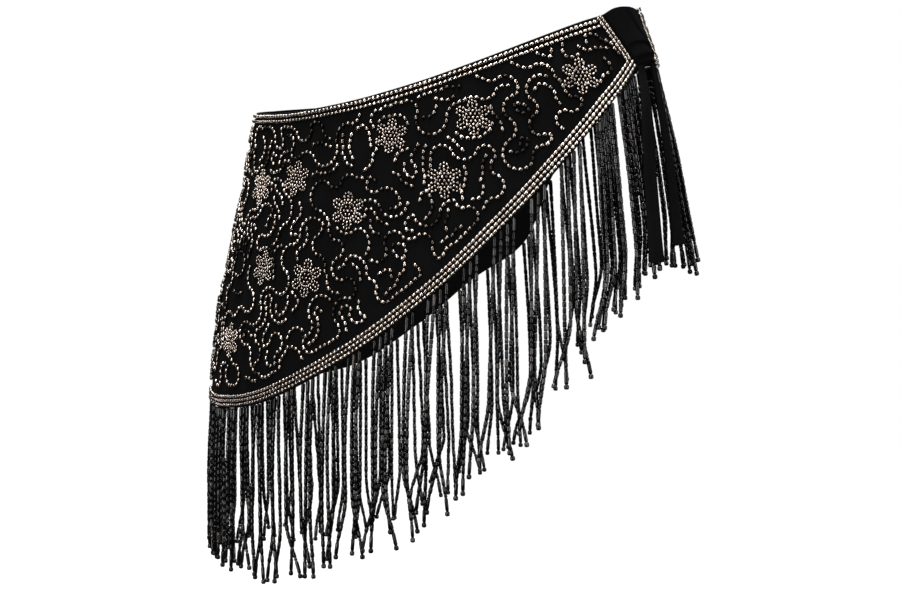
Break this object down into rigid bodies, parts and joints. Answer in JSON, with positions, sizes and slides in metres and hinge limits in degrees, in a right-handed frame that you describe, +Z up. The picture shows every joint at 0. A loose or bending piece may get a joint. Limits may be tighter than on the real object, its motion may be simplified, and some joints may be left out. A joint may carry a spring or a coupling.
{
  "type": "beaded belt",
  "caption": "Slanted hip belt of black cloth with beaded scrolls, flowers and borders, a side tie and a long bugle-bead fringe, in its worn hollow form.",
  "frame": {"origin": "on the axis of the wearer's hips, in the middle of the slanted opening at the waist, where the hips hold the belt", "axes": "+Z up the wearer, -Y the wearer's front, +X the side with the tie"},
  "size_m": [0.3777, 0.2656, 0.4188],
  "materials": {
    "black_crepe": "matte black crepe",
    "pewter_beads": "warm pewter metallic coating on faceted seed beads",
    "black_bugles": "glossy opaque black"
  },
  "bodies": {
    "root": {"panel_front": "black_crepe", "panel_back": "black_crepe", "tie_tab": "black_crepe", "tail_front": "black_crepe", "tail_rear": "black_crepe", "border_top_front": "pewter_beads", "border_top_back": "pewter_beads", "border_hem_front": "pewter_beads", "border_hem_back": "pewter_beads", "border_end_front": "pewter_beads", "border_end_back": "pewter_beads", "flower_front_01": "pewter_beads", "flower_front_02": "pewter_beads", "flower_front_03": "pewter_beads", "flower_front_04": "pewter_beads", "flower_front_05": "pewter_beads", "flower_front_06": "pewter_beads", "flower_front_07": "pewter_beads", "flower_front_08": "pewter_beads", "flower_front_09": "pewter_beads", "flower_front_10": "pewter_beads", "flower_front_11": "pewter_beads", "flower_back_01": "pewter_beads", "flower_back_02": "pewter_beads", "flower_back_03": "pewter_beads", "flower_back_04": "pewter_beads", "flower_back_05": "pewter_beads", "flower_back_06": "pewter_beads", "flower_back_07": "pewter_beads", "flower_back_08": "pewter_beads", "flower_back_09": "pewter_beads", "flower_back_10": "pewter_beads", "flower_back_11": "pewter_beads", "fringe_front": "black_bugles", "fringe_back": "black_bugles"}
  },
  "joints": []
}
